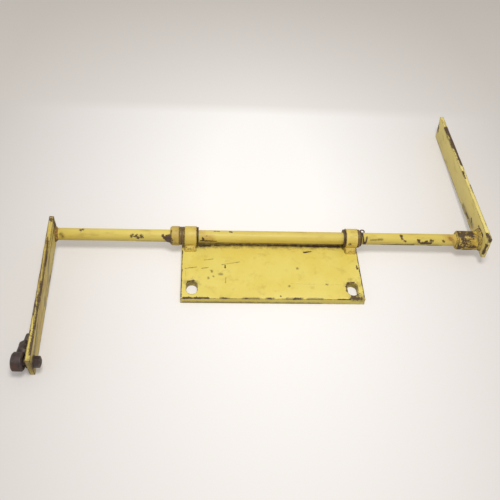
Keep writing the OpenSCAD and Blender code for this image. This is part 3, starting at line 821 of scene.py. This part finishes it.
plate_enamel = enamel(
    "brushed_enamel_plate", "#e2cc5e", "#e6d36b", "#b39a44", wear=0.1, dirt=0.4,
    # Scratches, then specks, then the dark strip in the corner under the shaft: grease, and painted shade
    # where the shaft keeps the light off the plate
    grime_and_painted_shade=strokes(scratch, [
        ((-20, -4, 0), (17, 4, 0), 0.7), ((-61, -14, 0), (-48, -12, 0), 0.8),
        ((-95, -15, 0), (-72, -11, 0), 0.8), ((-56, 8, 0), (-38, 11, 0), 0.8),
        ((-41, -20, 0), (-40, -23, 0), 1.9), ((-48, -37, 0), (-47, -40, 0), 1.8),
        ((-25, -29, 0), (-21, -29, 0), 2.6), ((-12, -38, 0), (-13, -51, 0), 0.8),
        ((-38, -34, 0), (-37, -35, 0), 1.6), ((137, -11, 0), (137, -12, 0), 1.9),
        ((117, -57, 0), (117, -58, 0), 2.0), ((194, -52, 0), (196, -53, 0), 1.9),
        ((-70, 49, 0), (240, 53, 0), 5.5), ((-66, 44, 0), (-20, 46, 0), 4.0),
        ((90, 49, 0), (238, 50, 0), 5.5)])
    # Painted shade along the foot of the front face, where the plate meets the floor; grime along the front
    # edge; darker down the right side and in the slots' far walls
    + strokes(near_left, [
        ((6, 0, -13), (284, 0, -14), 2.6), ((80, 1, 0), (97, 1, 0), 1.7),
        ((125, 1, 0), (157, 1, 0), 1.7), ((172, 1, 0), (186, 1, 0), 1.8),
        ((212, 1, 0), (244, 1, 0), 2.0), ((256, 1, 0), (286, 1, 0), 1.8)])
    + strokes(near_right, [((0, 10, -9), (0, 120, -9), 3.4), ((-24, 5, 0), (-6, 5, 0), 6.0)])
    + strokes(left_slot, [((-10, 11, -8), (0, 17, -7), 6.0), ((0, 17, -7), (10, 11, -8), 6.0)])
    + strokes(right_slot, [((-10, 11, -8), (0, 17, -7), 6.0), ((0, 17, -7), (11, 9, -8), 6.5)]),
    # Knocks in the flat, and in the corner under the shaft a dark strip drawn as bare steel: paint gone,
    # and painted shade where the shaft keeps the light off the plate
    bare_and_painted_shade=strokes(scratch, [
        ((-13, -6, 0), (-13, -12, 0), 1.2), ((155, 32, 0), (170, 35, 0), 1.6),
        ((98, -83, 0), (98, -84, 0), 1.5), ((-70, 46, 0), (-44, 47, 0), 2.4),
        ((-36, 48, 0), (-26, 48, 0), 2.0), ((-10, 50, 0), (60, 51, 0), 1.2),
        ((80, 51, 0), (140, 51, 0), 1.7), ((150, 50, 0), (232, 50, 0), 3.0)])
    # Chips along the front edge and round the slots' rims, and dark lines down both sides
    + strokes(near_left, [
        ((5, 1, 0), (55, 1, 0), 2.2), ((84, 1, 0), (92, 1, 0), 1.3), ((130, 1, 0), (134, 1, 0), 1.4),
        ((176, 1, 0), (181, 1, 0), 1.4), ((228, 1, 0), (240, 1, 0), 1.9), ((0, 4, 0), (0, 122, 0), 1.9)])
    + strokes(near_right, [
        ((-56, 0, 0), (-30, 0, 0), 1.5), ((0, 4, 0), (0, 130, 0), 1.7), ((-6, 88, 0), (-5, 80, 0), 2.0),
        ((-26, 4, 0), (-7, 3, 0), 3.4)])
    + strokes(left_slot, [((-11, 6, 0), (-8, 14, 0), 1.8), ((-8, 14, 0), (2, 17, 0), 2.0)])
    + strokes(right_slot, [
        ((-12, -5, 0), (-12, 6, 0), 2.2), ((-12, 6, 0), (-7, 15, 0), 2.6), ((-7, 15, 0), (5, 17, 0), 1.9),
        ((-3, -18, 0), (8, -14, 0), 3.4)]))

# The shaft's chips, the smear of rust beside the left ring, and a dark line along its lower front
scrape, chip, rust, far_chip, scar = (mark["shaft_" + end] for end in (
    "chip_left", "chip_far_left", "rust", "chip_right", "scar_right"))
shaft_enamel = enamel(
    "brushed_enamel_shaft", "#d8c05a", "#e2cc66", "#a6873a",
    wear=0.2, dirt=0.55, stretch=(0.35, 1, 1), shift=2.1,
    grime_and_painted_shade=strokes(scrape, [((-154, 1, 1), (-150, -2, -3), 3.0)])
    + strokes(far_chip, [((-68, -5, -4), (-43, -4, -3), 1.8)])
    + strokes(scar, [((-60, -6, -8), (66, -6, -8), 4.0), ((53, 7, 7), (62, 0, 1), 3.0)]),
    bare_and_painted_shade=strokes(chip, [((-2, 0, 0), (3, 2, -1), 3.6)])
    + strokes(scrape, [
        ((-11, -1, -1), (-9, 1, 1), 3.2), ((-1, 0, 0), (3, -2, -3), 3.2), ((10, 0, 0), (12, -1, -1), 3.2),
        ((-9, 0, 0), (10, -2, -3), 1.4),
        ((54, 1, 1), (58, 0, -2), 2.6), ((60, -2, -3), (68, -4, -6), 4.5)])
    + strokes(rust, [
        ((-9, -6, -10), (22, -6, -12), 2.2), ((-6, -3, -3), (-4, -5, -8), 1.8),
        ((3, 1, -1), (4, 0, -2), 1.3), ((18, 12, 2), (29, 11, 2), 1.5), ((51, 10, 3), (55, 9, 3), 1.6)])
    + strokes(far_chip, [((-1, 4, 1), (1, -2, -2), 3.2), ((5, -5, -4), (8, -5, -5), 2.2)])
    + strokes(scar, [
        ((-16, 2, 3), (-14, 1, 1), 2.6), ((-9, -1, -2), (12, -1, -2), 2.2), ((2, 1, 1), (3, 1, 1), 2.4),
        ((11, 2, 4), (15, 2, 3), 2.6), ((39, 1, 2), (40, 1, 2), 3.6)])
    + strokes(Vector((far_chip.x, SHAFT.y, SHAFT.z)), [
        ((-43, -11.7, -4.9), (26, -11.7, -4.9), 2.6), ((60, -11.2, -6.0), (90, -11.2, -6.0), 2.2),
        ((-560, -11.2, -6.0), (-470, -11.2, -6.0), 1.6)]),
    rust=strokes(rust, [((-6, 6, 4), (2, -4, -4), 5.0), ((7, -1, -1), (14, -4, -6), 4.0)])
    + strokes(scar, [((53, 7, 7), (66, 0, 1), 9.0)]))

# Half the hub sleeve is bare, along its top and its left half, and there is a dark band along its underside
patch = mark["hub_bare_patch"]
hub_enamel = enamel(
    "worn_enamel_hub", "#cfae4a", "#d8bb58", "#7c602c", wear=0.85, dirt=0.8, fray=4.2, shift=4.2,
    grime_and_painted_shade=strokes(patch, [((2, 19, 15), (8, 7, 11), 4.0)]),
    bare_and_painted_shade=strokes(patch, [
        ((-36, 23, 15), (-10, 22, 15), 9.0), ((-27, 15, 15), (-24, 3, 2), 7.5),
        ((-30, 4, 2), (-30, -6, -16), 6.0), ((-10, -1, -3), (2, -1, -4), 3.6),
        ((-22, 8, 11), (-14, 5, 9), 3.2), ((-24, -4, -14), (12, -4, -17), 4.6)]))

# The left arm's top edge is chipped to a ragged line, and its inner face is smeared
rusty = mark["left_arm_rust"]
left_arm_enamel = enamel(
    "brushed_enamel_left_arm", "#cdb455", "#d8c262", "#8c7332",
    wear=0.7, dirt=0.9, fray=3.8, stretch=(1, 0.4, 1), shift=6.4,
    grime_and_painted_shade=strokes(rusty, [
        ((-1.5, 62, 16), (-1.5, -160, -1), 2.6), ((-9, -20, 9), (-8, -75, 6), 3.0),
        ((0, -21, -26), (0, -26, -31), 4.5), ((0, 60, 0), (0, 20, -22), 5.0),
        ((0, -96, -8), (0, -150, -24), 5.0), ((-1, -173, -4), (-4, -170, -40), 7.0)]),
    bare_and_painted_shade=strokes(rusty, [
        ((0, 143, 16), (0, 145, -6), 8.0), ((-1, 52, 16), (-1, 30, 13), 1.8),
        ((-1, 12, 12), (-1, -3, 11), 2.4), ((-1, -3, 11), (-2, -51, 8), 3.0),
        ((-2, -57, 8), (-2, -108, 3), 2.8), ((-2, -114, 3), (-1, -160, 0), 2.2),
        ((-9, -44, 8), (-8, -49, 7), 2.2), ((-9, -58, 7), (-8, -62, 6), 2.6),
        ((-9, -76, 6), (-8, -79, 6), 2.0), ((-9, -112, 4), (-9, -120, 2), 2.2)]),
    rust=strokes(rusty, [
        ((0, -11, 7), (0, 5, -13), 6.0), ((0, -78, -13), (0, -84, -28), 7.0),
        ((0, -45, 0), (0, -60, -18), 6.0)]))

# The right arm's top edge has lost its paint towards the tip, and its root is knocked
nick, gash = mark["right_arm_chip"], mark["right_arm_scar"]
right_arm_enamel = enamel(
    "brushed_enamel_right_arm", "#e4d076", "#ebd985", "#a8924a",
    wear=0.75, dirt=0.7, stretch=(1, 0.3, 1), shift=8.6,
    grime_and_painted_shade=strokes(gash, [((0, 36, -4), (0, -37, 5), 5.0)]),
    bare_and_painted_shade=strokes(nick, [
        ((-1, 221, -14), (0, 150, -9), 6.2), ((1, 150, -9), (2, 84, -5), 4.6),
        ((-3, 60, -4), (-3, 36, -2), 2.2), ((4, 12, -1), (4, -12, 0), 3.2),
        ((-6, 268, -36), (-6, 255, -49), 4.5)])
    + strokes(gash, [
        ((0, 10, -2), (0, -9, 0), 3.2), ((0, -21, 12), (0, -28, 9), 2.2),
        ((1, -100, 50), (6, -118, 48), 4.5), ((2, -119, 33), (2, -120, 10), 3.6),
        ((0, -60, 30), (0, -90, 34), 3.0)]))

ring_enamel = enamel("brushed_enamel_rings", "#d8bc55", "#dfc762", "#a08036", wear=0.4, dirt=0.6, shift=3.3)
collar_edge = Vector((corners("stop_collar")[0].x, SHAFT.y, SHAFT.z))
collar_enamel = enamel(
    "brushed_enamel_collar", "#bd9e46", "#c9af54", "#7c602a", wear=0.7, dirt=0.8, fray=4.0, shift=1.7,
    bare_and_painted_shade=strokes(collar_edge, [((0, -20, -6), (0, -17, 11), 3.4), ((0, -17, 11), (0, -4, 20), 2.8)]))
foot_enamel = enamel(
    "thin_enamel_ring_feet", "#cfb04e", "#dcc25c", "#8f6f30", wear=0.7, dirt=0.9, shift=7.3)
root_enamel = enamel(
    "rusted_enamel_arm_root", "#b98a34", "#c9a046", "#6a431e", wear=1.15, dirt=1.0, shift=9.1)
weld_enamel = enamel("thin_enamel_welds", "#c0a046", "#d4b955", "#705026", wear=1.1, dirt=1.0, shift=5.1)
washer_steel = aged_steel("greasy_steel_washers", "#5e4726", "#8c7238", "#3c2d1e", metal=0.2)
bush_steel = aged_steel("greasy_steel_bushes", "#37291d", "#4f3b26", "#5e3f24", metal=0.3, shift=1.0)
bead_steel = aged_steel("burnt_steel_bead", "#3b2a20", "#5a4130", "#6e4527", metal=0.1, shift=2.0)
link_steel = aged_steel("oxidised_steel_link", "#352b28", "#4c3e3b", "#5e4234", metal=0.3, shift=3.0)
seat_steel = aged_steel(
    "greased_steel_seat", "#5a544e", "#6f675e", "#5e4a38", rusty=0.2, metal=0.8, shift=4.0)
boot_rubber = moulded_rubber("moulded_nitrile_boot")
finishes = {
    "mounting_plate": plate_enamel, "cross_shaft": shaft_enamel, "hub_sleeve": hub_enamel,
    "left_crank_arm": left_arm_enamel, "right_crank_arm": right_arm_enamel, "stop_collar": collar_enamel,
    "left_bearing_ring": ring_enamel, "right_bearing_ring": ring_enamel,
    "left_bush": bush_steel, "right_bush": bush_steel,
    "left_outer_washer": washer_steel, "left_inner_washer": washer_steel,
    "right_inner_washer": washer_steel, "right_thin_washer": bush_steel,
    "stud_washer": link_steel, "joint_housing": link_steel, "housing_cap": link_steel}
for node in PLAIN_EDGES:
    stands_for(pieces[node], node, finishes[node])
dress(NODES["ball_seat"], seat_steel)

# Each ring stands on a heavy bead along its front foot and another along its rear foot
weld_tree, thread_tree, wire_tree = weld_bead_tree(), screw_thread_tree(), bent_wire_tree()
for side in ("left", "right"):
    low, high = corners(side + "_bearing_ring")
    near, far = Vector((low.x, SHAFT.y, PLATE_HIGH.z)), Vector((high.x, SHAFT.y, PLATE_HIGH.z))
    for place, line, toe, seed in (("front", (near, far), 26.5, 1.3), ("rear", (far, near), 24, 4.1)):
        node = side + "_ring_" + place + "_weld"
        bead = grown(
            "bead_" + node, weld_tree, line, **foot(toe, 2.2), End_Size=0.86, Step=0.7 * MM,
            Ripple_Pitch=6.5 * MM, Ripple_Height=0.2 * MM, Lump_Size=9 * MM, Lump_Height=9.0 * MM,
            Seed=seed + (side == "right"), Material=foot_enamel)
        stands_for(bead, node)

# The beads that go round the shaft, each seen from the side that it was welded from
left_up, left_out = arm_axes(LEFT_DROOP, -1)
right_up, right_out = arm_axes(RIGHT_DROOP, 1)
upright, back = Vector((0, 0, 1)), Vector((0, 1, 0))
left_face, right_face = corners("left_crank_arm")[1].x, corners("right_crank_arm")[0].x
hub_end, collar_end = corners("hub_sleeve")[0].x, corners("stop_collar")[0].x
# Its line, place, section, size at the ends, ripple pitch in millimetres and finish
ROUND_BEADS = {
    "left_arm_weld": (arc(SHAFT_R, -48, 126), across_shaft(left_face, left_up, left_out),
                      fillet(5.5, 5.5, 0.3), 0.45, 2.4, root_enamel),
    "right_arm_weld": (arc(HUB_R, -122, 122), across_shaft(right_face, right_up, right_out),
                       fillet(6, 6.5, 0.2), 0.45, 3.0, weld_enamel),
    "hub_end_weld": (arc(SHAFT_R, 0, 360)[:-1], across_shaft(hub_end, upright, back),
                     fillet(4.5, 3.4, 0.5), 1.0, 2.4, ring_enamel),
    "collar_weld": (arc(SHAFT_R, -110, -30), across_shaft(collar_end, upright, back),
                    fillet(4.5, 10, 1.4), 0.5, 2.8, bead_steel)}
for node, (line, matrix, section, end_size, pitch, finish) in ROUND_BEADS.items():
    bead = grown(
        "bead_" + node, weld_tree, line, closed=node == "hub_end_weld", matrix=matrix, **section,
        End_Size=end_size, Step=0.6 * MM, Ripple_Pitch=pitch * MM, Ripple_Height=0.45 * MM,
        Lump_Size=5 * MM, Lump_Height=4.5 * MM, Seed=len(node) * 0.7, Material=finish)
    stands_for(bead, node)

# The cotter pin is one bent wire: in through the shaft, round its eye and out again. Its own z
# runs along the pin towards the eye, which lies behind the shaft. In millimetres and degrees: the
# wire's radius, a leg's place beside the pin's middle and its lean, the radii of the legs' bend and
# of the eye, the neck's height, the play beside the pin and half the pin's thickness.
WIRE_R, LEG_X, LEG_LEAN, LOOP_R, EYE_R, NECK, PLAY, COTTER_R = 1.35, 1.4, 12, 14.67, 4.4, 3.0, 4.0, 2.8
STRAIGHT_Z, EYE_TURNS = (-12, 0, 12), range(244, -70, -12)  # Points along a leg and round the eye
eye_z = SHAFT_R / MM + NECK + EYE_R
legs = []
for side, bend in ((-1, 110), (1, 70)):
    leg = []
    for turn in range(bend, -1, -5):
        out = LOOP_R * math.sin(math.radians(turn))
        lean = math.radians(LEG_LEAN) * side
        leg.append(Vector((side * LEG_X + out * math.sin(lean), -out * math.cos(lean),
                           -LOOP_R * math.cos(math.radians(turn)))))
    legs.append(leg + [Vector((side * LEG_X, 0, z)) for z in (*STRAIGHT_Z, eye_z - EYE_R - 1)])
eye = [Vector((EYE_R * math.cos(math.radians(turn)), 0, eye_z + EYE_R * math.sin(math.radians(turn))))
       for turn in EYE_TURNS]
cotter_x = corners("right_thin_washer")[1].x + (PLAY + COTTER_R) * MM
cotter = grown(
    "bent_cotter_pin", wire_tree, [p * MM for p in legs[0] + eye + legs[1][::-1]],
    matrix=Matrix.Translation((cotter_x, SHAFT.y, SHAFT.z)) @ ALONG_ROD, Radius=WIRE_R * MM,
    Material=bead_steel)
stands_for(cotter, "cotter_pin")

# The nuts, and the rod with its thread, in millimetres
STUD_R, ROD_R, NECK_END, ROD_START, ROD_END = 6.35, 7.0, 36.0, 24.3, 73.0
NUT_TURN = math.radians(42)  # How the stud's nut was left standing
STUD_FLATS, JAM_FLATS, NUT_THICK = 19, 22, 11
washer_face = corners("stud_washer")[1].x
stands_for(laid(
    hexagon_nut("chamfered_stud_nut", STUD_FLATS, NUT_THICK, STUD_R),
    Matrix.Translation((washer_face, STUD.y, STUD.z)) @ ALONG_SHAFT
    @ Matrix.Rotation(NUT_TURN, 4, "Z")), "stud_nut", link_steel)
stands_for(laid(
    hexagon_nut("chamfered_jam_nut", JAM_FLATS, NUT_THICK, ROD_R),
    LINK @ Matrix.Translation((0, NECK_END * MM, 0)) @ ALONG_ROD), "jam_nut", link_steel)
rod = grown(
    "threaded_rod", thread_tree, matrix=LINK @ Matrix.Translation((0, ROD_START * MM, 0)) @ ALONG_ROD,
    Length=(ROD_END - ROD_START) * MM, Radius=ROD_R * MM, Pitch=2.0 * MM, Depth=1.1 * MM,
    Chamfer=1.2 * MM, Material=link_steel, sharp_deg=80)
stands_for(rod, "push_rod_end")

# The ball stud is turned in one piece, and threaded where its nut goes on
BALL_R, TAIL = 9.5, 11  # Millimetres: the ball, and the length of thread that shows or fills the nut
neck_x = math.sqrt(BALL_R ** 2 - STUD_R ** 2)
ball = [(-BALL_R * math.cos(math.radians(a)), BALL_R * math.sin(math.radians(a))) for a in range(5, 136, 5)]
# The ball, the neck, the shoulder against the arm, the shank and the core inside the thread
stud = [(-BALL_R, 0)] + [p for p in ball if p[0] < neck_x] + [
    (neck_x, STUD_R), (12.7, STUD_R), (12.9, 8.0), (13.1, 8.2), (14.5, 8.2), (14.6, STUD_R),
    (27.0, STUD_R), (27.1, 5.4), (30.0, 5.4), (30.0, 0)]
stands_for(laid(turned("turned_ball_stud", stud), Matrix.Translation(BALL)), "ball_stud", link_steel)
tail_end = corners("ball_stud")[1].x
tail = grown(
    "stud_thread", thread_tree,
    matrix=Matrix.Translation((tail_end - TAIL * MM, STUD.y, STUD.z)) @ ALONG_SHAFT,
    Length=TAIL * MM, Radius=STUD_R * MM, Pitch=1.27 * MM, Depth=0.75 * MM, Chamfer=1.0 * MM,
    Material=link_steel, sharp_deg=80)
stands_for(tail, "ball_stud")

# The rubber boot is a rounded collar with one fold
boot = [(-2.5, 8.6), (-2.6, 9.4), (-2.4, 11.0), (-1.9, 11.5), (-1.3, 10.6), (-0.8, 11.2), (-0.3, 11.3),
        (0.0, 10.4), (0.0, 8.6)]
boot_place = Matrix.Translation((corners("dust_boot")[1].x, STUD.y, STUD.z))
stands_for(laid(turned("folded_dust_boot", boot), boot_place), "dust_boot", boot_rubber)

# The oil hole is clogged with paint just under the ring's surface
OIL_HOLE_X, OIL_HOLE_TILT = 8.0, 12  # From the ring's inner face, and degrees up from level
PLUG_SUNK = 1.2  # From the ring's surface to the plug's rim
ring_low, ring_high = corners("right_bearing_ring")
plug = turned(
    "clogged_oil_hole", [(-3.0, 0), (-3.0, 2.9), (0.0, 2.9), (-0.4, 2.2), (-0.8, 1.0), (-0.9, 0)], 32)
ring_r = (ring_high.z - ring_low.z) / 2
to_front = (Matrix.Translation((ring_low.x + OIL_HOLE_X * MM, SHAFT.y, SHAFT.z))
            @ Matrix.Rotation(math.radians(-OIL_HOLE_TILT), 4, "X")
            @ Matrix.Rotation(math.radians(-90), 4, "Z")
            @ Matrix.Translation((ring_r - PLUG_SUNK * MM, 0, 0)))
plug = laid(plug, to_front)
dress(plug, collar_enamel)
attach(plug, BODY_OF["right_bearing_ring"])


# ---------------------------------------------------------------------------------------------
# Where the image points show
# ---------------------------------------------------------------------------------------------

def in_view(place, tree):
    """Whether nothing of the object stands between the camera and a vertex."""
    towards = (CAMERA_PLACE - place).normalized()
    return tree.ray_cast(place + towards * MM, towards)[0] is None


def middle_of(shown):
    """The middle of the box round what shows."""
    return [(min(side) + max(side)) / 2 for side in zip(*shown)]


whole = list(pieces.values())
everything = mesh_tree(whole)
spots = [(seen_at(v.co), v.co.copy()) for thing in whole for v in thing.data.vertices]
OUTERMOST = 400  # How many vertices to try for one that shows
for edge, axis, way in (
        ("left_edge", 0, 1), ("right_edge", 0, -1), ("top_edge", 1, 1), ("bottom_edge", 1, -1)):
    outermost = sorted(spots, key=lambda spot: way * spot[0][axis])[:OUTERMOST]
    next((shown for shown, place in outermost if in_view(place, everything)), outermost[0][0])
# The nut counts whole, and the pin only where its eye is, behind the shaft
eye_behind = SHAFT.y + SHAFT_R + 2 * MM
for point, node, from_y in (("stud_nut", "stud_nut", -1), ("cotter_eye", "cotter_pin", eye_behind)):
    places = [v.co.copy() for v in pieces[node].data.vertices if v.co.y > from_y]
    middle_of([seen_at(p) for p in places if in_view(p, everything)] or [(0, 0)])

bpy.context.scene.view_settings.view_transform = "Standard"
